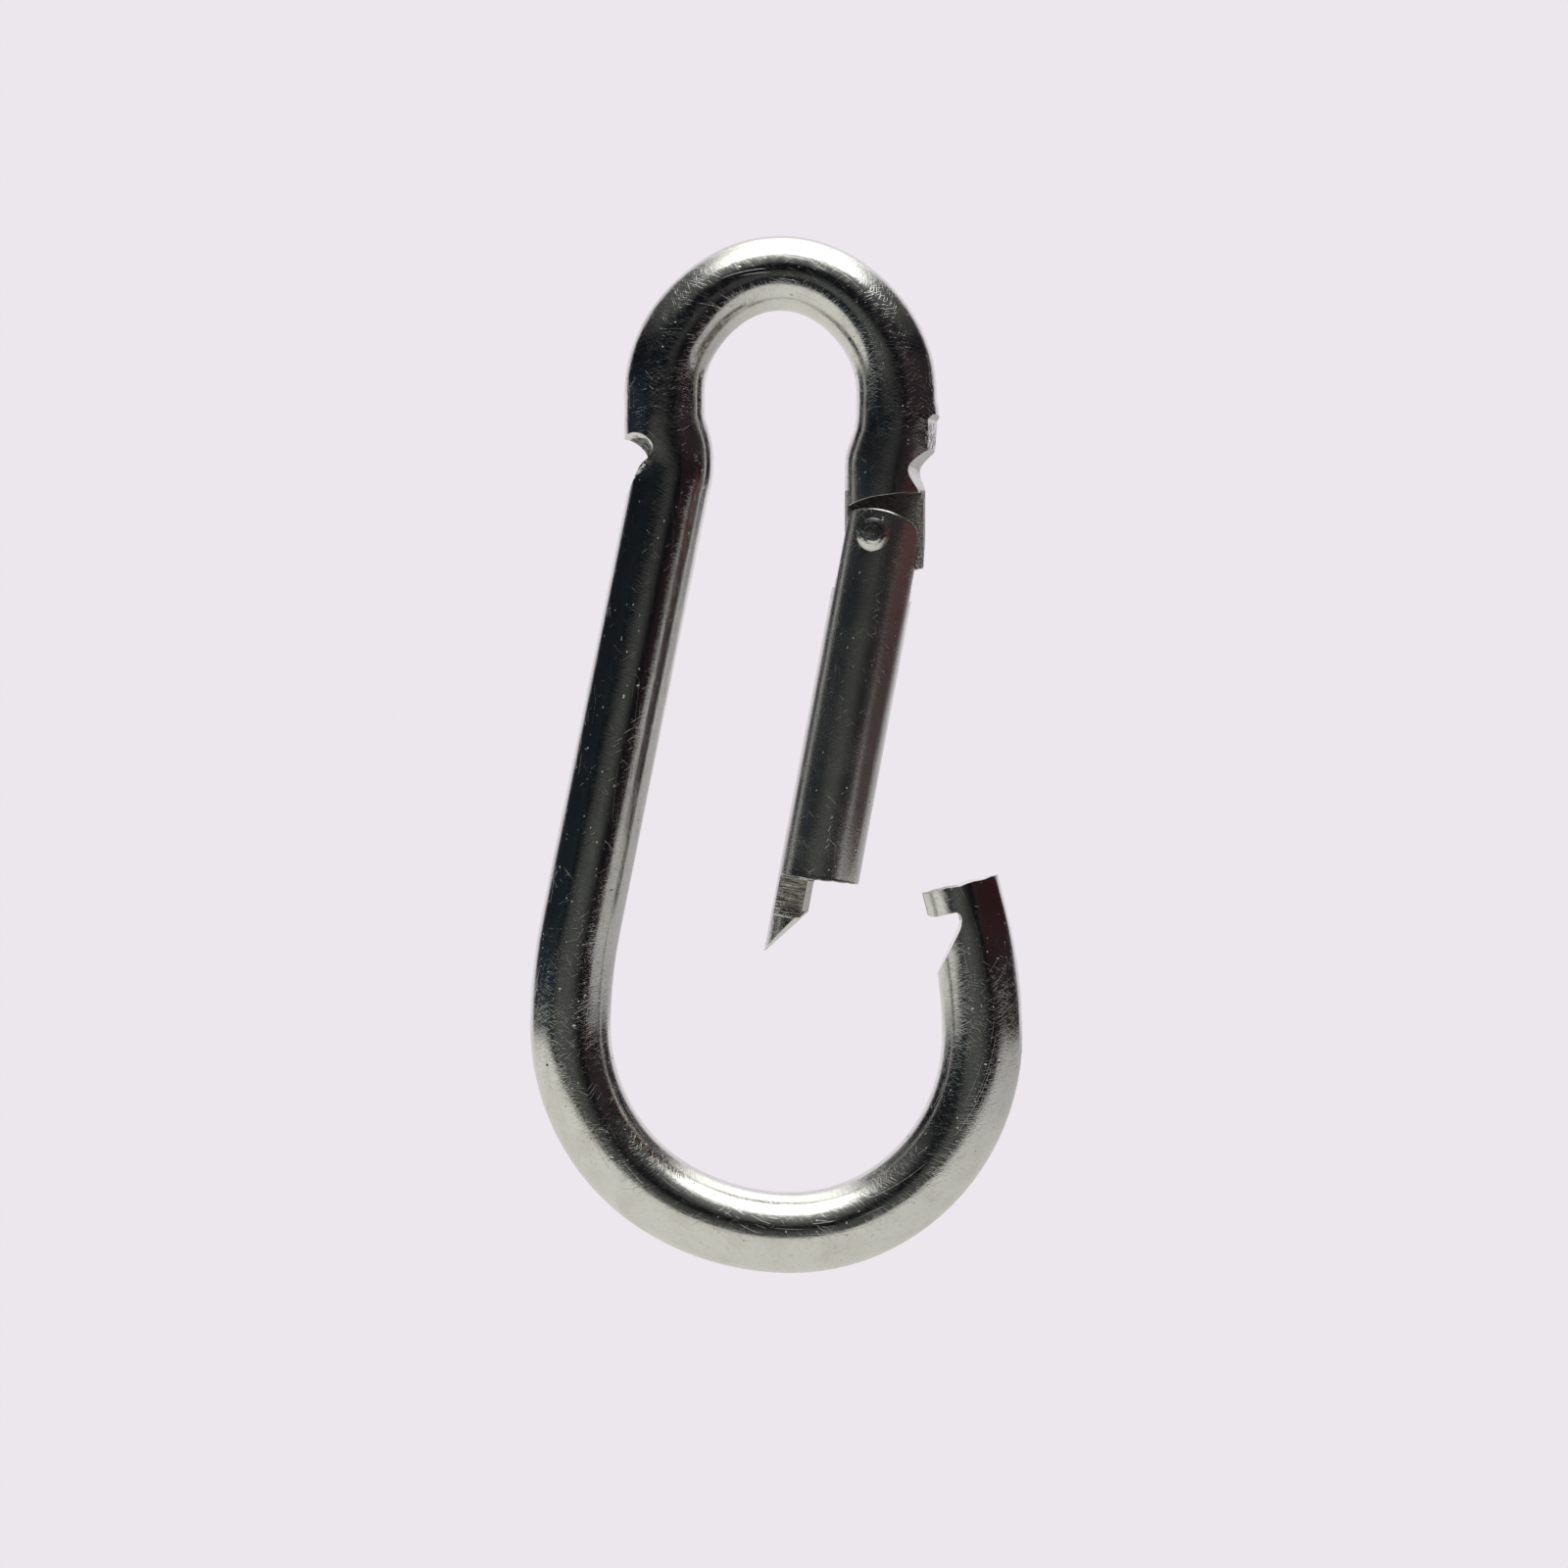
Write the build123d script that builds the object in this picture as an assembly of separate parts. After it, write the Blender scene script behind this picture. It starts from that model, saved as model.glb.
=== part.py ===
from build123d import *
import os
from math import sin, cos, tan, radians, sqrt

# Spring snap hook (carbine hook) bent from round bar, pear shaped, with a pinched small eye.
# Frame: +Z up along the hook's length, the hook lies in the XZ plane, +Y is its thickness.
# Origin: centre of the small eye. The gate is modelled open, against its opening stop.

# ---------------------------------------------------------------- driving dimensions (mm)
BAR_D = 14.0            # round bar
BAR_R = BAR_D / 2

EYE_R = 20.15           # centreline radius of the small eye
EYE_SQUARE = 0.35       # the bend is a little square: centreline radius lost over the shoulders
EYE_CROWN = 0.45        # and a little taller over the top
EYE_THIN = 0.52         # half thickness lost over the top, where the bar was stretched
EYE_SECTIONS = 17

SPINE_X, SPINE_Z = -20.618, -22.978   # a point on the spine's centreline
SPINE_LEAN = 11.458     # degrees from vertical
SPINE_FOOT = -92.66     # z where the spine runs into the bow
# the big bow is tangent arcs: (heading at the arc's end, degrees from straight down; centreline radius)
BOW_ARCS = ((0, 87.08), (30, 35.44), (60, 34.79), (90, 41.68), (120, 31.81), (150, 34.23),
            (180, 35.32), (194, 80.80))
NOSE_STRAIGHT = 6.91    # straight run to the nose's end

LEG_X = 18.13           # centreline of the straight leg that ends in the tang
CRIMP_LEAN = 20         # degrees, the crimps are cut back towards both faces

PIVOT = (15.966, -25.157)   # rivet axis, (x, z)
GATE_OFF = 1.71         # gate axis, outboard of the rivet axis
GATE_OPEN = 10.6        # degrees, the open gate leans inward
GATE_SHUT = 12.3        # degrees, the shut gate leans outward
SWING = radians(GATE_OPEN + GATE_SHUT)

RIVET_R = 2.0
RIVET_HEAD_R = 2.9
RIVET_HEAD_TOP = 7.95
PIVOT_CLEAR = 0.05

SLOT_HALF = 2.6         # slot between the gate's two ears
EAR_EDGE_R = 0.45
TANG_HALF = 2.5         # flat tang of the body, between the ears
HEEL = 7.23             # distance from rivet axis to the tang's flat heel, along the shut gate
CAM = 2.0               # lift of the plunger per radian, and offset of its contact
CAM_CLEAR = 0.03

HEAD_T = 1.6            # plunger head, along the gate
HEAD_HALF = 2.48
STEM_R = 1.2
STEM_L = 6.5
SPRING_BORE_R = 2.5
SPRING_BORE_END = 28.0  # from the rivet axis, along the gate
WIRE_R = 0.4
COIL_R = 1.98
COILS = 10.0

GATE_END_IN, GATE_END_OUT = 60.85, 59.85   # end face of the gate's full section
NECK_HALF = 2.35        # thin neck behind the T head
NECK_OUT = -0.72        # neck's outer edge, from the gate axis
HEAD_TOP = 67.28        # the T head's full width starts here
HEAD_DIAG = 66.10       # where the outer slope of neck and head starts
TIP = 73.95
BEAK_SLOT_HALF = 2.6
BEAK_SLOT_TO = -0.30    # bottom of the beak's slot, from the shut gate's axis

os.makedirs("parts", exist_ok=True)


# ---------------------------------------------------------------- frames
def gate_plane(lean_deg, inward):
    """Sketch plane at the rivet: x across the gate (outboard +), y against the gate's length."""
    a = radians(lean_deg) * (1 if inward else -1)
    return Plane(origin=(PIVOT[0], 0, PIVOT[1]), x_dir=(cos(a), 0, -sin(a)), z_dir=(0, -1, 0))


OPEN = gate_plane(GATE_OPEN, True)
SHUT = gate_plane(GATE_SHUT, False)
FRONT = Plane(origin=(0, 0, 0), x_dir=(1, 0, 0), z_dir=(0, -1, 0))   # (x, z) sketches


def prism(plane, points, half):
    """Closed outline of (x, y) points in plane, extruded to both sides of the hook plane."""
    return extrude(plane * make_face(Polyline(*points, close=True)), amount=half, both=True)


def smooth_prism(plane, curve, rest, half):
    """A spline through curve, closed by straight runs through rest."""
    line = Spline(*curve) + Polyline(curve[-1], *rest, curve[0])
    return extrude(plane * make_face(line), amount=half, both=True)


def bar_along(plane, u0, u1, radius, off=GATE_OFF):
    """Round bar along the gate from u0 to u1."""
    origin = plane.from_local_coords(Vector(off, -u0, 0))
    axis = plane.from_local_coords(Vector(off, -u1, 0)) - origin
    return extrude(Plane(origin=origin, z_dir=axis) * Circle(radius), amount=axis.length)


# ---------------------------------------------------------------- hook body
# eye: half a turn of bar, stretched thinner and slightly flatted over the top and the shoulders
def section(x, z, half, heading):
    """Slice of the bar at (x, z), half thick in the hook plane; heading is the bar's way, degrees from +Z to -X."""
    a = radians(heading)
    return Plane(origin=(x, 0, z), x_dir=(-cos(a), 0, -sin(a)), z_dir=(-sin(a), 0, cos(a))) * Ellipse(half, BAR_R)


def eye_section(angle):
    a = radians(angle)
    radius = EYE_R - EYE_SQUARE * sin(2 * a) ** 2 + EYE_CROWN * sin(a) ** 4
    across = BAR_R - EYE_THIN * abs(sin(a)) ** 1.5
    return section(radius * cos(a), radius * sin(a), across, angle)


def upright(x, z0, z1):
    return extrude(Plane(origin=(x, 0, z1)) * Circle(BAR_R), amount=z0 - z1)


# pinched waist: the bar is crimped inward on both sides of the eye, (x, z, half width, heading)
spine_slope = tan(radians(SPINE_LEAN))
spine_at = lambda z: SPINE_X + (z - SPINE_Z) * spine_slope
LEFT_END, RIGHT_END = -16.6, -17.87
right_side = [
    (LEG_X, RIGHT_END, BAR_R, 0),
    (18.15, -17.0, 7.01, 0),
    (18.30, -15.32, 7.15, 0),
    (18.64, -12.77, 7.46, 0),
    (19.15, -10.21, 7.62, 0),
    (19.72, -7.66, 7.30, 0),
    (20.14, -5.6, 7.20, 0),
    (20.34, -4.0, 7.22, 0),
    (20.20, -2.0, 7.06, 0),
]
left_side = [
    (-EYE_R, -2.4, BAR_R, 180),
    (-20.10, -4.7, 7.04, 180),
    (-19.88, -6.2, 7.28, 180),
    (-19.60, -7.9, 7.52, 180),
    (-19.10, -10.21, 7.42, 178),
    (-18.86, -12.77, 7.26, 174),
    (spine_at(-15.5) + 0.03, -15.5, 7.05, 169.4),
    (spine_at(LEFT_END), LEFT_END, BAR_R, 180 - SPINE_LEAN),
]
head_end = loft([section(*c) for c in right_side]
                + [eye_section(180 * i / (EYE_SECTIONS - 1)) for i in range(EYE_SECTIONS)]
                + [section(*c) for c in left_side])

# spine, big bow and nose: one sweep of straight runs and tangent arcs
x, z, h = spine_at(SPINE_FOOT), SPINE_FOOT, -radians(SPINE_LEAN)
run = [Line((spine_at(LEFT_END), LEFT_END), (x, z))]
for to, r in BOW_ARCS:
    to = radians(to)
    cx, cz = x + r * cos(h), z + r * sin(h)
    mid = (h + to) / 2
    end = (cx - r * cos(to), cz - r * sin(to))
    run.append(ThreePointArc((x, z), (cx - r * cos(mid), cz - r * sin(mid)), end))
    (x, z), h = end, to
nose_end = (x + NOSE_STRAIGHT * sin(h), z - NOSE_STRAIGHT * cos(h))
run.append(Line((x, z), nose_end))
run_wire = FRONT * Wire(run)
lower = sweep(Plane(origin=run_wire @ 0, x_dir=(0, 1, 0), z_dir=run_wire % 0) * Circle(BAR_R), path=run_wire)

# the two crimps on the outside of the waist: tool marks, cut back towards both faces of the bar
def crimp(face, dx, dz):
    """Slanted cut from the hook plane to both faces, shifting by (dx, dz) per unit of depth."""
    wide = sqrt(1 + dx * dx + dz * dz)
    cuts = [extrude(face, amount=11 * wide, dir=Vector(dx, s, dz).normalized()) for s in (-1, 1)]
    return cuts[0] + cuts[1]


def outline_face(curve, rest, straight=()):
    """(x, z) face: straight runs, a spline through curve, then straight runs back."""
    line = Spline(*curve) + Polyline(curve[-1], *rest, *straight, curve[0])
    return FRONT * make_face(line)


left_crimp = crimp(outline_face(
    [(-27.8, -8.2), (-26.8, -8.3), (-25.2, -8.9), (-23.9, -9.95), (-23.2, -11.0), (-23.05, -11.9), (-23.45, -12.85),
     (-24.7, -13.8), (-25.75, -15.6), (-26.9, -18.2)],
    [(-32.0, -18.2), (-32.0, -8.2)],
), 0.16, 0.24)
right_crimp = crimp(outline_face(
    [(26.9, -10.35), (25.85, -11.35), (24.95, -12.3), (24.38, -13.15), (24.2, -14.0), (24.45, -15.2),
     (25.0, -16.5), (25.22, -18.6)],
    [(32.0, -18.6), (32.0, -4.2)],
    [(27.75, -4.2), (27.2, -5.1)],
), -tan(radians(CRIMP_LEAN)), 0.0)
head_end -= left_crimp + right_crimp
lower -= left_crimp
leg = upright(LEG_X, RIGHT_END, -34.5) - right_crimp
body = head_end + lower + leg


# ---------------------------------------------------------------- tang of the body
def shut_uv(u, v):
    """(x, z) of a point u along the shut gate from the rivet, v across it."""
    c = radians(GATE_SHUT)
    return (PIVOT[0] + u * sin(c) + v * cos(c), PIVOT[1] - u * cos(c) + v * sin(c))


heel = HEEL - CAM_CLEAR
cam = []
STEPS = 12
for i in range(STEPS + 1):
    th = (SWING + 0.05) * i / STEPS
    r = heel + CAM * th
    cam.append(shut_uv(r * cos(th) - CAM * sin(th), -r * sin(th) - CAM * cos(th)))

# flats on both faces, up to a curved shoulder
shoulder = [(8.0, -21.75), (10.95, -20.33), (14.2, -19.0), (17.6, -18.32), (21.0, -17.9), (26.0, -17.65)]
flat_zone = smooth_prism(FRONT, shoulder, [(26.0, -40.0), (8.0, -40.0)], 12)
side = Pos(LEG_X, TANG_HALF + 10, -30) * Box(40, 20, 40) + Pos(LEG_X, -TANG_HALF - 10, -30) * Box(40, 20, 40)
body -= flat_zone & side

# heel: flat square to the shut gate, then an involute that lifts the plunger as the gate opens
corner = shut_uv(heel, 7.43)
inner_top = (LEG_X - BAR_R - 0.4, -24.2)
below = [corner, shut_uv(heel, -CAM)]
heel_cut = (
    Polyline((26.0, -25.6), (LEG_X + BAR_R - 0.02, -25.6), corner, below[1])
    + Spline(*cam)
    + Polyline(cam[-1], (inner_top[0] + 0.42, inner_top[1]), (6.0, inner_top[1]), (6.0, -42.0), (26.0, -42.0), (26.0, -25.6))
)
body -= extrude(FRONT * make_face(heel_cut), amount=12, both=True)
pivot_axis = Plane(origin=(PIVOT[0], 0, PIVOT[1]), z_dir=(0, 1, 0))
body -= extrude(pivot_axis * Circle(RIVET_R + PIVOT_CLEAR), amount=10, both=True)

# ---------------------------------------------------------------- nose: notch for the T head, beak with its slot
notch = Polyline((22.0, -90.6), (24.95, -90.85), (26.7, -91.1), (29.0, -90.5)) \
    + Spline((29.0, -90.5), (30.5, -90.35), (31.2, -91.3), (31.15, -92.5), (30.68, -93.85),
             tangents=((1, 0.1), (-0.45, -1))) \
    + Polyline((30.68, -93.85), (28.65, -98.1), (27.45, -100.5), (25.0, -105.3), (22.0, -105.3), (22.0, -90.6))
body -= extrude(FRONT * make_face(notch), amount=12, both=True)
body -= prism(SHUT, [(GATE_OFF - 10, -58.0), (GATE_OFF + BEAK_SLOT_TO, -58.0),
                     (GATE_OFF + BEAK_SLOT_TO, -68.3), (GATE_OFF - 10, -68.3)], BEAK_SLOT_HALF)

# cropped end of the nose, torn a little uneven; depths taken off the true end, in mm
def torn(start, end, depths, inward):
    """Uneven line of points from start to end, pushed inward by depths."""
    n = len(depths) - 1
    return [(start[0] + (end[0] - start[0]) * i / n + inward[0] * d,
             start[1] + (end[1] - start[1]) * i / n + inward[1] * d) for i, d in enumerate(depths)]


nose_in = (-sin(h), cos(h))         # from the end back into the bar
nose_across = (cos(h), sin(h))
at_nose = lambda across, back: (nose_end[0] + nose_across[0] * across + nose_in[0] * back,
                                nose_end[1] + nose_across[1] * across + nose_in[1] * back)
NOSE_TORN = (0.05, 0.16, 0.10, 0.28, 0.22, 0.08, 0.15, 0.33, 0.24, 0.12, 0.20, 0.10, 0.26, 0.17, 0.06)
body -= prism(FRONT, torn(at_nose(-7.6, 0), at_nose(7.6, 0), NOSE_TORN, nose_in) + [at_nose(7.6, -2), at_nose(-7.6, -2)], 12)

# ---------------------------------------------------------------- gate
outline = Spline((-7.2, 1.5), (-5.45, 3.12), (-2.72, 4.30), (0.68, 4.71), (3.34, 4.34), (5.19, 3.74),
                 (6.91, 2.86), (7.69, 1.60), (8.1, -0.2)) \
    + Polyline((8.1, -0.2), (10.0, -0.2), (10.0, -GATE_END_OUT),
               (GATE_OFF + BAR_R, -GATE_END_OUT),
               (GATE_OFF + NECK_OUT, -(GATE_END_OUT + (GATE_END_IN - GATE_END_OUT) * (BAR_R - NECK_OUT) / BAR_D)),
               (GATE_OFF + NECK_OUT, -HEAD_DIAG),
               (GATE_OFF - 6.7, -TIP),
               (GATE_OFF - 8.5, -TIP - 0.9),
               (GATE_OFF - 8.5, 1.5), (-7.2, 1.5))
GATE_TORN = (0.04, 0.14, 0.08, 0.20, 0.06, 0.12, 0.22, 0.10, 0.05, 0.16, 0.04)
gate = bar_along(OPEN, -6.0, 76.0, BAR_R) & extrude(OPEN * make_face(outline), amount=12, both=True)
neck_zone = [(GATE_OFF - 9, -(GATE_END_IN + 0.16)),
             (GATE_OFF + NECK_OUT + 0.6, -(GATE_END_OUT + (GATE_END_IN - GATE_END_OUT) * (BAR_R - NECK_OUT - 0.6) / BAR_D)),
             (GATE_OFF + NECK_OUT + 0.6, -HEAD_TOP), (GATE_OFF - 9, -HEAD_TOP)]
gate -= prism(OPEN, neck_zone, 12) - prism(OPEN, [(-12, -50), (12, -50), (12, -80), (-12, -80)], NECK_HALF)
gate_end = torn((GATE_OFF + BAR_R + 0.4, -GATE_END_OUT), (GATE_OFF + NECK_OUT + 0.01, -(GATE_END_OUT + (GATE_END_IN - GATE_END_OUT) * (BAR_R - NECK_OUT) / BAR_D)),
                GATE_TORN, (0, 1))
gate -= prism(OPEN, gate_end + [(GATE_OFF + NECK_OUT + 0.01, -GATE_END_IN - 0.5), (GATE_OFF + BAR_R + 0.4, -GATE_END_IN - 0.5)], 12)


def sheared(a, b, lean, half):
    """Outer side of the line a-b of the open gate, leaning inward by lean per unit of depth towards both faces."""
    line = Vector(b[0] - a[0], b[1] - a[1], 0).normalized()
    inward = Vector(line.Y, -line.X, 0)
    face = OPEN * make_face(Polyline(a, b, (b[0] - inward.X * 4, b[1] - inward.Y * 4), (a[0] - inward.X * 4, a[1] - inward.Y * 4), close=True))
    way = (OPEN.from_local_coords(inward) - OPEN.origin) * lean
    cuts = [extrude(face, amount=half * sqrt(1 + lean * lean), dir=(way + Vector(0, s, 0)).normalized()) for s in (-1, 1)]
    return cuts[0] + cuts[1]


# outer side of the neck and slope of the T head: sheared, leaning back towards both faces
neck_edge = GATE_OFF + NECK_OUT
slope = Vector(GATE_OFF - 6.7 - neck_edge, HEAD_DIAG - TIP, 0).normalized()
gate -= sheared((neck_edge, -60.75), (neck_edge, -HEAD_DIAG), 0.48, 5)
gate -= sheared((neck_edge - slope.X * 0.6, -HEAD_DIAG - slope.Y * 0.6),
                (neck_edge + slope.X * 12, -HEAD_DIAG + slope.Y * 12), 0.14, 8)
lift = CAM * SWING
slot_floor = HEEL + lift + HEAD_T + 0.25
gate -= prism(OPEN, [(-12, 12), (12, 12), (12, -slot_floor), (-12, -slot_floor)], SLOT_HALF)
gate -= extrude(pivot_axis * Circle(RIVET_R), amount=10, both=True)
gate -= bar_along(OPEN, slot_floor - 1.0, SPRING_BORE_END, SPRING_BORE_R)
# edges rounded on the ends of the ears
ear_tops = [e for e in gate.edges() if e.geom_type == GeomType.BSPLINE and 18.0 < e.length < 19.0]
gate = gate.solids()[0].fillet(EAR_EDGE_R, ear_tops)

# ---------------------------------------------------------------- rivet through the ears, domed and peened over both
full_bar = bar_along(OPEN, -20.0, 20.0, BAR_R)
dome_h = RIVET_HEAD_TOP - 6.85
dome_r = (RIVET_HEAD_R ** 2 + dome_h ** 2) / (2 * dome_h)
half = Polyline((0, 4.0), (RIVET_HEAD_R, 4.0), (RIVET_HEAD_R, 6.85)) \
    + ThreePointArc((RIVET_HEAD_R, 6.85),
                    (dome_r * sin(0.5 * 0.9), RIVET_HEAD_TOP - dome_r * (1 - cos(0.5 * 0.9))),
                    (0, RIVET_HEAD_TOP)) + Line((0, RIVET_HEAD_TOP), (0, 4.0))
head_plane = Plane(origin=(PIVOT[0], 0, PIVOT[1]), x_dir=(1, 0, 0), z_dir=(0, 0, 1))
head = revolve(head_plane * make_face(half), Axis((PIVOT[0], 0, PIVOT[1]), (0, 1, 0)))
heads = (head + mirror(head, about=Plane.XZ)) - full_bar
rivet = extrude(pivot_axis * Circle(RIVET_R), amount=7.2, both=True) + heads

# ---------------------------------------------------------------- plunger: wide flat head in the slot, stem inside the spring
u_head = HEEL + lift
plunger_head = prism(OPEN, [(-12, -u_head), (12, -u_head), (12, -u_head - HEAD_T), (-12, -u_head - HEAD_T)], HEAD_HALF)
plunger_head &= bar_along(OPEN, 0, 30, BAR_R - 0.35)
stem = bar_along(OPEN, u_head + HEAD_T - 0.2, u_head + HEAD_T + STEM_L, STEM_R)
plunger = plunger_head + stem

# ---------------------------------------------------------------- compression spring in the gate's bore
s0, s1 = u_head + HEAD_T + 0.03 + WIRE_R, SPRING_BORE_END - 0.03 - WIRE_R
pitch = (s1 - s0) / COILS
base = OPEN.from_local_coords(Vector(GATE_OFF, -s1, 0))
axis = (OPEN.from_local_coords(Vector(GATE_OFF, -s0, 0)) - base)
frame = Plane(origin=base, x_dir=(0, 1, 0), z_dir=axis)
helix = frame * Helix(pitch, s1 - s0, COIL_R)
wire_at = Plane(origin=helix @ 0, z_dir=helix % 0)
spring = sweep(wire_at * Circle(WIRE_R), path=helix, is_frenet=True)

nodes = {
    "hook_body": body,
    "gate": gate,
    "pivot_rivet": rivet,
    "spring_plunger": plunger,
    "return_spring": spring,
}
for name, shape in nodes.items():
    solids = shape.solids()
    print(name, len(solids), "solid", round(sum(s.volume for s in solids)), "mm3", "valid", shape.is_valid)
    export_step(shape if len(solids) != 1 else solids[0], f"parts/{name}.step")
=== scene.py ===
"""Looks of the spring snap hook: bright worn steel in front of a pale paper sweep, seen square on."""

import math

import bpy
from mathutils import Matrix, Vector

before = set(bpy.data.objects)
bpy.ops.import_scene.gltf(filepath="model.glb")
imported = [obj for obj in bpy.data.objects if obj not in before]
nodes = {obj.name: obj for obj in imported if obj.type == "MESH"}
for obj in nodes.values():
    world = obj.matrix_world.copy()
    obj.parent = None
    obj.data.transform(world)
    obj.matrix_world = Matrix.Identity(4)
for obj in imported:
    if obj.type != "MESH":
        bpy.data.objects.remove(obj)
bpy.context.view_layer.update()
scene = bpy.context.scene

PAPER = (0.839, 0.799, 0.847)


# ------------------------------------------------------------------ small helpers for node trees
class Tree:
    """Builds a node tree from plain expressions."""

    def __init__(self, tree):
        self.t = tree
        self.t.nodes.clear()

    def node(self, kind, **props):
        n = self.t.nodes.new(kind)
        for k, v in props.items():
            setattr(n, k, v)
        return n

    def put(self, socket, value):
        if isinstance(value, bpy.types.NodeSocket):
            self.t.links.new(value, socket)
        elif value is not None:
            if hasattr(socket, "default_value"):
                if socket.type == "RGBA" and len(value) == 3:
                    value = (*value, 1.0)
                socket.default_value = value
        return socket

    def math(self, op, a, b=None, c=None, clamp=False):
        n = self.node("ShaderNodeMath", operation=op, use_clamp=clamp)
        for i, v in enumerate((a, b, c)):
            if v is not None:
                self.put(n.inputs[i], v)
        return n.outputs[0]

    def add(self, a, b):
        return self.math("ADD", a, b)

    def sub(self, a, b):
        return self.math("SUBTRACT", a, b)

    def mul(self, a, b):
        return self.math("MULTIPLY", a, b)

    def mad(self, a, b, c):
        return self.math("MULTIPLY_ADD", a, b, c)

    def least(self, a, b):
        return self.math("MINIMUM", a, b)

    def most(self, a, b):
        return self.math("MAXIMUM", a, b)

    def absolute(self, a):
        return self.math("ABSOLUTE", a)

    def above(self, a, b):
        return self.math("GREATER_THAN", a, b)

    def product(self, *a):
        out = a[0]
        for b in a[1:]:
            out = self.mul(out, b)
        return out

    def total(self, *a):
        out = a[0]
        for b in a[1:]:
            out = self.add(out, b)
        return out

    def smooth(self, x, lo, hi, to_lo=0.0, to_hi=1.0):
        """Smooth step of x from lo to hi."""
        n = self.node("ShaderNodeMapRange", interpolation_type="SMOOTHSTEP", clamp=True)
        self.put(n.inputs["Value"], x)
        n.inputs["From Min"].default_value = min(lo, hi)
        n.inputs["From Max"].default_value = max(lo, hi)
        n.inputs["To Min"].default_value = to_lo if lo < hi else to_hi
        n.inputs["To Max"].default_value = to_hi if lo < hi else to_lo
        return n.outputs[0]

    def band(self, x, a, b, soft):
        """1 between a and b, falling to 0 over soft on both sides."""
        return self.mul(self.smooth(x, a - soft, a), self.smooth(x, b + soft, b))

    def mix(self, f, a, b, blend="MIX"):
        n = self.node("ShaderNodeMix", data_type="RGBA", blend_type=blend)
        self.put(n.inputs[0], f)
        self.put(n.inputs[6], a)
        self.put(n.inputs[7], b)
        return n.outputs[2]

    def mixf(self, f, a, b):
        n = self.node("ShaderNodeMix", data_type="FLOAT")
        self.put(n.inputs[0], f)
        self.put(n.inputs[2], a)
        self.put(n.inputs[3], b)
        return n.outputs[0]

    def split(self, v):
        n = self.node("ShaderNodeSeparateXYZ")
        self.put(n.inputs[0], v)
        return n.outputs[0], n.outputs[1], n.outputs[2]

    def vec(self, x, y, z):
        n = self.node("ShaderNodeCombineXYZ")
        for i, v in enumerate((x, y, z)):
            self.put(n.inputs[i], v)
        return n.outputs[0]

    def dot(self, a, b):
        n = self.node("ShaderNodeVectorMath", operation="DOT_PRODUCT")
        self.put(n.inputs[0], a)
        self.put(n.inputs[1], b)
        return n.outputs["Value"]

    def noise(self, v, scale=1.0, detail=2.0, rough=0.5, distortion=0.0):
        n = self.node("ShaderNodeTexNoise")
        self.put(n.inputs["Vector"], v)
        n.inputs["Scale"].default_value = scale
        n.inputs["Detail"].default_value = detail
        n.inputs["Roughness"].default_value = rough
        n.inputs["Distortion"].default_value = distortion
        return n.outputs[0]

    def noise3(self, x, y, z, detail=1.0, rough=0.5):
        return self.noise(self.vec(x, y, z), 1.0, detail, rough)

    def cells(self, v, scale=1.0, feature="F1"):
        """Cell pattern: distance to the nearest point, and that point's random value."""
        n = self.node("ShaderNodeTexVoronoi", feature=feature)
        self.put(n.inputs["Vector"], v)
        n.inputs["Scale"].default_value = scale
        r = self.node("ShaderNodeSeparateColor")
        self.put(r.inputs[0], n.outputs["Color"])
        return n.outputs["Distance"], r.outputs[0]


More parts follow.
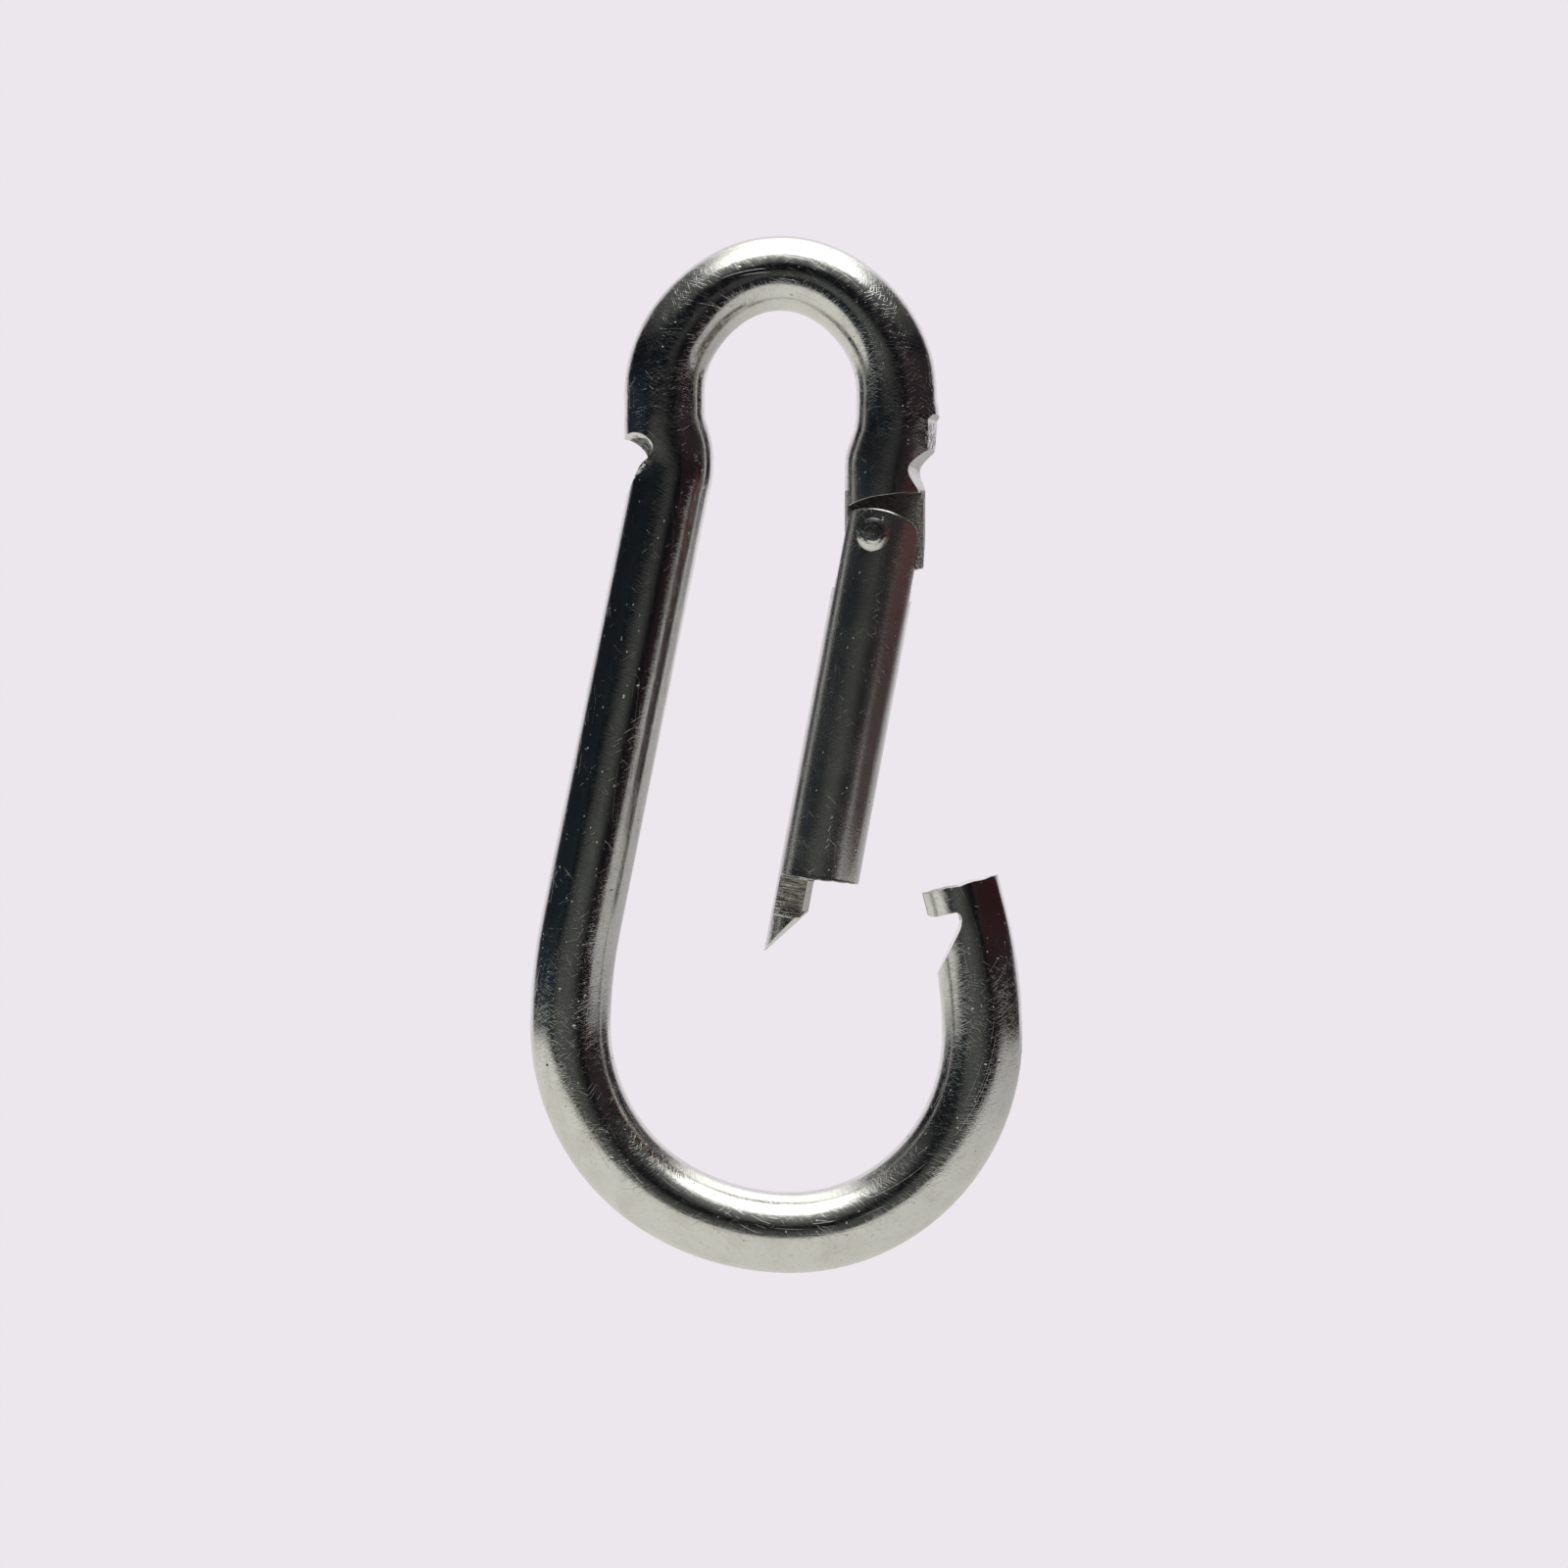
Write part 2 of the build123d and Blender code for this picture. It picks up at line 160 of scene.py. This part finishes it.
# ------------------------------------------------------------------ stage: room, paper, lights
def build_world():
    """A dim room in front, pale paper behind, and a wide soft light overhead whose front edge fades out."""
    w = bpy.data.worlds.new("studio")
    scene.world = w
    w.use_nodes = True
    t = Tree(w.node_tree)
    d = t.node("ShaderNodeTexCoord").outputs["Generated"]
    dx, dy, dz = t.split(d)
    room = t.mix(t.smooth(dx, -0.85, 0.75), (0.018, 0.027, 0.035), (0.016, 0.010, 0.012))
    room = t.mix(t.smooth(dz, -0.05, 0.35), room, (0.006, 0.007, 0.009))
    glow = t.product(t.smooth(dx, 0.10, 0.50), t.smooth(dz, 0.04, 0.14), t.smooth(dz, 0.42, 0.26), 0.6)
    room = t.mix(glow, room, (0.046, 0.031, 0.035))
    # overhead softbox, by where the ray would cross a ceiling one unit up
    up = t.most(dz, 0.02)
    tilt = t.math("DIVIDE", dx, up)
    side = t.absolute(tilt)
    ahead = t.math("DIVIDE", t.mul(dy, -1.0), up)
    width = t.mul(t.smooth(tilt, 0.90, 0.42), t.smooth(tilt, -0.72, -0.20))
    core = t.product(t.smooth(ahead, 0.78, 0.46), t.smooth(ahead, -0.35, 0.12, 0.38, 1.0), 2.4)
    shoulder = t.mul(t.smooth(ahead, 1.15, 0.55), 0.45)
    skirt = t.mul(t.smooth(ahead, 2.8, 0.8), 0.10)
    lamp = t.product(t.total(core, shoulder, skirt), width, t.above(dz, 0.05))
    halo = t.product(t.smooth(side, 2.2, 0.6), t.smooth(ahead, 2.2, 0.4), t.above(dz, 0.05), 0.10)
    lamp = t.add(lamp, halo)
    col = t.mix(1.0, room, t.vec(lamp, lamp, t.mul(lamp, 0.97)), blend="ADD")
    # paper behind the object
    behind = t.smooth(dy, 0.60, 0.80)
    col = t.mix(behind, col, PAPER)
    bg = t.node("ShaderNodeBackground")
    t.put(bg.inputs["Color"], col)
    bg.inputs["Strength"].default_value = 1.0
    flat = t.node("ShaderNodeBackground")
    flat.inputs["Color"].default_value = (*PAPER, 1)
    path = t.node("ShaderNodeLightPath")
    pick = t.node("ShaderNodeMixShader")
    t.put(pick.inputs[0], path.outputs["Is Camera Ray"])
    t.put(pick.inputs[1], bg.outputs[0])
    t.put(pick.inputs[2], flat.outputs[0])
    out = t.node("ShaderNodeOutputWorld")
    t.put(out.inputs[0], pick.outputs[0])


def emitter(name, colour, cover=None):
    """Material that only glows; cover, where given, fades it to clear."""
    m = bpy.data.materials.new(name)
    m.use_nodes = True
    t = Tree(m.node_tree)
    p = t.node("ShaderNodeNewGeometry").outputs["Position"]
    e = t.node("ShaderNodeEmission")
    t.put(e.inputs[0], colour(t, *t.split(p)) if callable(colour) else (*colour, 1))
    shader = e.outputs[0]
    if cover:
        clear = t.node("ShaderNodeBsdfTransparent")
        mix = t.node("ShaderNodeMixShader")
        t.put(mix.inputs[0], cover(t, *t.split(p)))
        t.put(mix.inputs[1], clear.outputs[0])
        t.put(mix.inputs[2], shader)
        shader = mix.outputs[0]
    t.put(t.node("ShaderNodeOutputMaterial").inputs[0], shader)
    return m


def sheet(name, corners, material, camera=False):
    me = bpy.data.meshes.new(name)
    me.from_pydata([Vector(c) for c in corners], [], [(0, 1, 2, 3)])
    o = bpy.data.objects.new(name, me)
    scene.collection.objects.link(o)
    me.materials.append(material)
    o.visible_camera = camera
    o.visible_shadow = False
    return o


def upright_sheet(name, y, x0, x1, z0, z1, material):
    return sheet(name, [(x0, y, z0), (x1, y, z0), (x1, y, z1), (x0, y, z1)], material)


build_world()
FLOOR_Z = -0.196


def paper_colour(t, x, y, z):
    """Paper, warmer and brighter to the left, falling off to the right."""
    return t.mix(t.smooth(x, -0.12, 0.40), (0.74, 0.73, 0.68), (0.46, 0.45, 0.45))


# what the metal sees of the paper below it, and the paper that the camera sees
# its front edge runs further forward to the right
sheet("paper_glow", [(-1.5, -0.56, FLOOR_Z), (1.5, -0.56, FLOOR_Z), (1.5, 1.4, FLOOR_Z), (-1.5, 1.4, FLOOR_Z)],
      emitter("paper_glow", paper_colour, lambda t, x, y, z: t.product(
          t.smooth(x, -1.5, -0.5), t.smooth(x, 1.45, 0.85),
          t.smooth(t.mad(t.smooth(x, 0.28, 0.58), 0.20, y), -0.29, -0.235))))
floor = sheet("paper_floor", [(-6, -6, FLOOR_Z - 0.001), (6, -6, FLOOR_Z - 0.001), (6, 6, FLOOR_Z - 0.001), (-6, 6, FLOOR_Z - 0.001)],
              emitter("paper", PAPER), camera=True)
floor.visible_glossy = False
floor.visible_diffuse = False


def front_colour(t, x, y, z):
    """Dim front of the room: a low grey band, mostly to the left, dark above and to the right."""
    tall = t.mul(t.smooth(z, 0.098, 0.045), t.smooth(z, -0.40, -0.24))
    left = t.smooth(x, -1.75, -0.65)
    right = t.smooth(x, 0.55, -0.25)
    k = t.product(tall, left, right)
    bright = t.mix(t.smooth(z, 0.03, -0.09), (0.056, 0.058, 0.055), (0.086, 0.090, 0.086))
    return t.mix(k, (0.004, 0.0045, 0.006), bright)


upright_sheet("front_wall", -1.1, -1.9, 0.85, -0.55, 0.30, emitter(
    "front", front_colour, lambda t, x, y, z: t.product(
        t.smooth(x, -1.9, -1.3), t.smooth(x, 0.85, 0.5), t.smooth(z, 0.30, 0.10), t.smooth(z, -0.55, -0.35))))


def flank_colour(t, x, y, z):
    return t.mix(t.smooth(z, -0.060, -0.020), (0.028, 0.010, 0.011), (0.080, 0.024, 0.021))


sheet("warm_card", [(0.055, -0.034, -0.10), (0.055, 0.020, -0.10), (0.055, 0.020, -0.012), (0.055, -0.034, -0.012)],
      emitter("warm", flank_colour, lambda t, x, y, z: t.product(
          t.smooth(z, -0.10, -0.085), t.smooth(z, -0.012, -0.024), t.smooth(y, -0.034, -0.026), t.smooth(y, 0.020, 0.012), 0.9)))


# ------------------------------------------------------------------ steel
MM = 1000.0
LEAN = math.radians(11.458)      # lean of the spine
OPEN = math.radians(10.6)        # lean of the gate as built
PIVOT = (15.966, -25.157)
GATE_OFF = 1.71
LEFT_CRIMP = (0.16, 0.24)        # slant of the left crimp's walls


def bar_coords(t, x, y, z):
    """Along-the-bar and across-the-bar coordinates of the hook body, in mm, switched by region."""
    # small eye, polar about its centre
    r_eye = t.math("SQRT", t.add(t.mul(x, x), t.mul(z, z)))
    s_eye = t.mul(t.math("ARCTAN2", z, x), 20.0)
    w_eye = t.sub(r_eye, 20.2)
    # spine, straight
    s_sp = t.add(t.mul(z, -math.cos(LEAN)), t.mul(x, -math.sin(LEAN)))
    w_sp = t.mul(t.sub(x, t.mad(z, math.tan(LEAN), -20.618 + 22.978 * math.tan(LEAN))), math.cos(LEAN))
    # big bow, polar about its middle
    bx, bz = t.add(x, 0.7), t.add(z, 109.0)
    r_bow = t.math("SQRT", t.add(t.mul(bx, bx), t.mul(bz, bz)))
    s_bow = t.mul(t.math("ARCTAN2", bz, bx), 36.0)
    w_bow = t.sub(r_bow, 36.3)
    # leg above the tang
    is_eye = t.above(z, -3.0)
    is_bow = t.above(-93.0, z)
    is_nose = t.mul(t.above(-60.0, z), t.above(x, 10.0))
    low = t.most(is_bow, is_nose)
    is_leg = t.mul(t.above(x, 0.0), t.sub(1.0, low))
    s = t.mixf(is_leg, s_sp, t.mul(z, -1.0))
    w = t.mixf(is_leg, w_sp, t.sub(x, 18.2))
    s, w = t.mixf(low, s, s_bow), t.mixf(low, w, w_bow)
    s, w = t.mixf(is_eye, s, s_eye), t.mixf(is_eye, w, w_eye)
    return s, w


def gate_coords(t, x, y, z):
    px, pz = t.sub(x, PIVOT[0]), t.sub(z, PIVOT[1])
    u = t.add(t.mul(px, -math.sin(OPEN)), t.mul(pz, -math.cos(OPEN)))
    v = t.add(t.mul(px, math.cos(OPEN)), t.mul(pz, -math.sin(OPEN)))
    return u, t.sub(v, GATE_OFF)


def strokes(t, s, a, angle, length, width, lo, hi, seed):
    """Short straight scratches at an angle to the bar, as a 0..1 depth."""
    ca, sa = math.cos(angle), math.sin(angle)
    along = t.add(t.mul(s, ca / length), t.mul(a, sa / length))
    across = t.add(t.mul(s, -sa / width), t.mul(a, ca / width))
    n = t.noise3(along, across, seed, detail=0.0)
    return t.smooth(n, lo, hi)


def pits(t, p, scale, keep, radius):
    """Scattered small round dents as a 0..1 depth; keep is the share of cells left empty."""
    dist, rnd = t.cells(p, scale)
    size = t.mad(rnd, radius, 0.0)
    d = t.math("DIVIDE", dist, t.most(size, 0.001))
    return t.mul(t.smooth(d, 1.0, 0.15), t.above(rnd, keep))


def steel(name, coords, look):
    """Bright worn steel. look sets how rough and how scratched it is; its values may be node outputs."""
    m = bpy.data.materials.new(name)
    m.use_nodes = True
    t = Tree(m.node_tree)
    obj = t.node("ShaderNodeTexCoord").outputs["Object"]
    scaled = t.node("ShaderNodeVectorMath", operation="SCALE")
    t.put(scaled.inputs[0], obj)
    scaled.inputs["Scale"].default_value = MM
    p = scaled.outputs[0]
    x, y, z = t.split(p)
    s, w = coords(t, x, y, z)
    a = t.mul(t.math("ARCTAN2", w, t.mul(y, -1.0)), 7.0)      # round the bar, 0 at the front
    n_geo = t.node("ShaderNodeNewGeometry").outputs["Normal"]
    k = look(t, x, y, z, s, w, a)

    # rounded edges in the shading, and where they are
    bevel = t.node("ShaderNodeBevel", samples=4)
    bevel.inputs["Radius"].default_value = k.get("edge", 0.25) / MM
    edge = t.smooth(t.sub(1.0, t.dot(bevel.outputs[0], n_geo)), 0.004, 0.10)

    patch = t.noise(p, 0.11, 3.0, 0.55)                # hand-sized wear patches, about 9 mm
    worn = t.smooth(patch, 0.40, 0.62)
    fine = t.noise(p, 1.6, 3.0, 0.6)                   # mottling, about 0.6 mm

    # relief in mm
    wave = t.mul(t.noise3(t.mul(s, 0.10), t.mul(w, 0.22), t.mul(y, 0.22), detail=2.0), k.get("wave", 0.040))
    drawn = t.mul(t.noise3(t.mul(s, 0.045), t.mul(w, 2.6), t.mul(y, 2.6), detail=2.0, rough=0.6), k.get("drawn", 0.005))
    cross = t.mul(t.noise3(t.mul(s, 3.0), t.mul(a, 0.55), 3.7, detail=2.0, rough=0.6), k.get("cross", 0.004))
    fur = t.total(
        strokes(t, s, a, 1.15, 1.9, 0.19, 0.575, 0.70, 11.3),
        strokes(t, s, a, 1.95, 1.5, 0.17, 0.590, 0.72, 27.9),
    )
    fur = t.product(fur, -0.0092, k.get("fur", 1.0), t.mad(worn, 0.3, 0.7))
    cuts = t.total(
        strokes(t, s, a, 0.95, 3.2, 0.24, 0.74, 0.81, 71.3),
        strokes(t, s, a, 2.30, 2.2, 0.20, 0.74, 0.81, 37.7),
        strokes(t, s, a, 0.35, 4.5, 0.22, 0.735, 0.80, 43.1),
    )
    rub = t.smooth(t.noise(p, 0.17, 2.0, 0.5), 0.40, 0.66)
    cuts = t.product(cuts, -0.013, k.get("cuts", 1.0), t.mad(rub, 0.8, 0.2))
    faint = t.total(
        strokes(t, s, a, 1.30, 1.6, 0.22, 0.60, 0.75, 12.7),
        strokes(t, s, a, 0.10, 3.0, 0.20, 0.62, 0.76, 83.3),
    )
    faint = t.product(faint, -0.0050, k.get("faint", 1.0), t.mad(rub, 0.5, 0.5))
    long_cut = t.mul(strokes(t, s, a, 0.10, 12.0, 0.22, 0.75, 0.82, 61.7), -0.014)
    dents = pits(t, p, 0.45, 0.82, 0.17)
    nicks = pits(t, p, 0.95, 0.80, 0.19)
    holes = t.mul(t.add(t.mul(dents, -0.115), t.mul(nicks, -0.065)), k.get("pits", 1.0))
    grain = t.mul(t.add(t.noise(p, 2.4, 2.0, 0.6), t.mul(t.noise(p, 7.5, 1.0, 0.5), 0.55)), k.get("grain", 0.004))
    height = t.total(wave, drawn, cross, fur, cuts, faint, long_cut, holes, grain)
    for extra in k.get("relief", ()):
        height = t.add(height, extra)

    bump = t.node("ShaderNodeBump")
    bump.inputs["Strength"].default_value = 1.0
    bump.inputs["Distance"].default_value = 1.0 / MM
    t.put(bump.inputs["Height"], height)
    t.put(bump.inputs["Normal"], bevel.outputs[0])

    # roughness: polished ground, duller where handled and scratched
    rough = t.total(
        k["rough"],
        t.mul(worn, 0.035),
        t.mul(fine, 0.04),
        t.product(fur, -4.0),
        t.product(cuts, -4.0),
        t.mul(holes, -1.2),
        t.mul(edge, 0.10),
    )
    rough = t.math("MINIMUM", t.most(rough, 0.03), 0.75)

    # colour: plain steel, a little warmer and darker in patches, dark in the pits, bare on the edges
    col = t.mix(t.mul(t.smooth(t.noise(p, 0.16, 4.0, 0.6), 0.42, 0.70), 0.55), (0.750, 0.752, 0.722), (0.63, 0.62, 0.58))
    col = t.mix(t.mul(t.smooth(fine, 0.50, 0.72), 0.25), col, (0.50, 0.50, 0.47))
    col = t.mix(t.math("MULTIPLY", t.math("MINIMUM", t.mul(holes, -10.0), 1.0), 0.55), col, (0.16, 0.145, 0.13))
    col = t.mix(t.mul(edge, 0.65), col, (0.86, 0.86, 0.83))
    if "tint" in k:
        col = t.mix(k["tint"][0], col, k["tint"][1])

    b = t.node("ShaderNodeBsdfPrincipled")
    # the painted shade in the root of the left crimp is no longer bright metal
    dull = k.get("dull", 0.0)
    t.put(b.inputs["Metallic"], t.sub(1.0, dull))
    b.inputs["Specular IOR Level"].default_value = 0.15
    if "dull" in k:
        rough = t.mixf(dull, rough, 0.60)
    t.put(b.inputs["Base Color"], col)
    t.put(b.inputs["Roughness"], rough)
    t.put(b.inputs["Normal"], bump.outputs[0])
    t.put(t.node("ShaderNodeOutputMaterial").inputs[0], b.outputs[0])
    return m


def crimp_mark(t, x, z, cx, cz, r):
    """1 inside a round patch of the hook plane, where the crimping tool bit."""
    dx, dz = t.sub(x, cx), t.sub(z, cz)
    return t.smooth(t.add(t.mul(dx, dx), t.mul(dz, dz)), r * r, r * r * 0.55)


def body_look(t, x, y, z, s, w, a):
    nx, ny, nz = t.split(t.node("ShaderNodeTexCoord").outputs["Normal"])
    flat = t.product(t.smooth(t.absolute(y), 3.1, 2.6), t.band(x, 10.5, 26.5, 0.3), t.band(z, -34.5, -17.4, 0.3))
    eye = t.smooth(z, -14.0, -2.0)
    bow = t.smooth(z, -70.0, -125.0)
    # stamped flat of the tang: coarse and dull
    stamp = t.mul(t.product(flat, t.noise3(t.mul(x, 1.2), t.mul(y, 1.2), t.mul(z, 2.2), detail=3.0, rough=0.6)), 0.95)
    # tool chatter inside the two crimps
    bite = t.most(crimp_mark(t, x, z, -26.4, -11.2, 3.9), t.product(crimp_mark(t, x, z, 28.2, -10.6, 5.6), t.smooth(nx, 0.75, 0.9)))
    chatter = t.product(bite, t.noise3(t.mul(x, 0.5), t.mul(y, 0.9), t.mul(z, 1.1), detail=2.0, rough=0.6), 0.42)
    # painted shade in the root of the left crimp, streaked
    streak = t.smooth(t.noise3(t.mul(x, 0.45), t.mul(y, 0.8), t.mul(z, 1.3), detail=2.0), 0.46, 0.56)
    deep = t.absolute(y)
    wall = t.mul(crimp_mark(t, t.mad(deep, -LEFT_CRIMP[0], x), t.mad(deep, -LEFT_CRIMP[1], z), -26.3, -11.4, 4.7), t.smooth(nz, -0.95, -0.9))
    off = t.add(x, 19.3)
    inside = t.smooth(t.add(t.math("SQRT", t.mad(off, off, t.mul(y, y))), t.mul(streak, 0.5)), 7.1, 6.4)
    inside = t.most(inside, t.product(t.smooth(z, -12.0, -13.0), t.smooth(nz, 0.05, 0.25), 0.8))
    # painted shade: dark streaks over the crimp's walls, darkest deep in its root
    crimp_shade = t.product(wall, inside, t.mad(streak, 0.30, 0.70), t.smooth(t.add(off, t.mul(streak, -0.8)), -1.6, -3.2))
    leg = t.product(t.smooth(z, -4.0, -10.0), t.smooth(z, -30.0, -22.0), t.smooth(x, 4.0, 9.0))
    rough = t.total(0.070, t.mul(bow, 0.012), t.mul(t.smooth(z, -12.0, -40.0), 0.015), t.mul(flat, -0.06), t.mul(leg, 0.10))
    return {
        "rough": rough,
        "fur": t.total(0.35, t.mul(eye, 0.65), t.mul(bow, 0.35)),
        "cross": t.mad(bow, 0.002, 0.003),
        "grain": t.total(0.0020, t.mul(t.smooth(z, -10.0, -24.0), 0.0045), t.mul(bow, 0.0015), t.mul(leg, 0.007)),
        "faint": t.mad(eye, -0.5, 1.0),
        "pits": t.sub(1.0, t.mul(eye, 0.35)),
        "relief": (stamp, chatter),
        # tint darkens the tang's stamped flat, and paints near-black shade into the left crimp's root
        "tint": (t.most(t.mul(flat, 0.88), crimp_shade), t.mix(crimp_shade, (0.17, 0.16, 0.15), (0.035, 0.037, 0.040))),
        "dull": crimp_shade,
        "edge": 0.22,
    }


def gate_look(t, x, y, z, s, w, a):
    neck = t.mul(t.smooth(s, 60.2, 60.7), t.smooth(s, 67.6, 67.2))
    # coarse saw marks across the thin neck
    cheek = t.product(neck, t.smooth(t.absolute(y), 2.2, 2.32))
    saw = t.product(cheek, t.mad(t.smooth(t.noise3(t.mul(s, 1.5), t.mul(w, 0.06), 2.4, detail=0.0), 0.47, 0.55), 0.9,
                                 t.noise3(t.mul(s, 3.0), t.mul(w, 0.14), 6.0, detail=2.0, rough=0.6)), 0.30)
    comb = t.product(t.noise3(t.mul(s, 2.6), t.mul(a, 0.25), 8.8, detail=2.0, rough=0.6), t.smooth(t.noise(t.vec(s, a, 5.0), 0.12, 1.0), 0.38, 0.60), 0.011)
    gouge = t.product(t.band(s, 49.3, 54.3, 0.5), t.smooth(t.absolute(t.add(a, t.mad(t.noise3(t.mul(s, 0.9), 0.0, 3.0), 0.8, -0.75))), 0.22, 0.05), -0.07)
    end = t.smooth(s, 59.4, 59.9)
    ragged = t.product(end, t.noise3(t.mul(x, 1.4), t.mul(y, 1.4), t.mul(z, 1.4), detail=3.0), 0.10)
    return {
        "rough": t.total(0.215, t.mul(cheek, -0.12)),
        "tint": (t.mul(cheek, 0.60), (0.25, 0.225, 0.20)),
        "fur": t.mad(t.smooth(s, 30.0, 58.0), 0.35, 0.10),
        "cross": 0.005,
        "grain": 0.0085,
        "wave": 0.030,
        "relief": (saw, comb, gouge, ragged),
        "pits": 0.9,
        "edge": 0.28,
    }


def rivet_look(t, x, y, z, s, w, a):
    px, pz = t.sub(x, PIVOT[0]), t.sub(z, PIVOT[1])
    r = t.math("SQRT", t.add(t.mul(px, px), t.mul(pz, pz)))
    # the middle is hammered flatter than the rim, more so above
    high = t.most(pz, 0.0)
    hammer = t.total(t.mul(t.noise3(t.mul(x, 0.75), t.mul(y, 0.75), t.mul(z, 0.75), detail=1.0), 0.12), t.mul(pz, 0.05), t.mul(t.mul(high, high), 0.085))
    ring = t.mul(t.smooth(t.absolute(t.sub(r, 1.5)), 0.45, 0.0), -0.03)
    return {"rough": t.mad(t.smooth(r, 1.6, 2.9), 0.08, 0.13), "relief": (hammer, ring), "fur": 0.5, "pits": 0.8, "edge": 0.18,
            "tint": (t.mul(t.smooth(r, 2.45, 2.9), 0.5), (0.34, 0.31, 0.28))}


def plunger_look(t, x, y, z, s, w, a):
    turned = t.mul(t.noise3(t.mul(s, 5.0), 1.0, 2.0, detail=1.0), 0.016)
    return {"rough": 0.24, "relief": (turned,), "fur": 0.6, "pits": 0.7, "edge": 0.15, "tint": (0.45, (0.36, 0.35, 0.34))}


def spring_look(t, x, y, z, s, w, a):
    wire = t.mul(t.noise3(t.mul(x, 0.8), t.mul(y, 0.8), t.mul(z, 9.0), detail=2.0), 0.006)
    return {"rough": 0.18, "relief": (wire,), "fur": 0.4, "pits": 0.4, "edge": 0.05, "wave": 0.01, "tint": (0.30, (0.42, 0.43, 0.46))}


LOOKS = {
    "hook_body": (bar_coords, body_look),
    "gate": (gate_coords, gate_look),
    "pivot_rivet": (gate_coords, rivet_look),
    "spring_plunger": (gate_coords, plunger_look),
    "return_spring": (gate_coords, spring_look),
}
for name, o in nodes.items():
    # shading carried over the seams between neighbouring CAD faces, true edges kept
    weld = o.modifiers.new("weld", "WELD")
    weld.merge_threshold = 2e-6
    split = o.modifiers.new("edges", "EDGE_SPLIT")
    split.split_angle = math.radians(24)
    even = o.modifiers.new("shading", "WEIGHTED_NORMAL")
    even.mode = "FACE_AREA_WITH_ANGLE"
    even.keep_sharp = False
    o.data.materials.clear()
    o.data.materials.append(steel(name + "_steel", *LOOKS[name]))

# ------------------------------------------------------------------ camera, square on to the hook
cam_data = bpy.data.cameras.new("camera")
cam = bpy.data.objects.new("camera", cam_data)
scene.collection.objects.link(cam)
DISTANCE = 0.83
cam_data.sensor_width = 36.0
cam_data.lens = 36.0 * DISTANCE / 0.27234
cam.location = (0.000596, -DISTANCE, -0.068084)
cam.rotation_euler = (math.pi / 2, 0, 0)
cam_data.clip_start, cam_data.clip_end = 0.01, 20
scene.camera = cam
scene.view_settings.view_transform = "Standard"
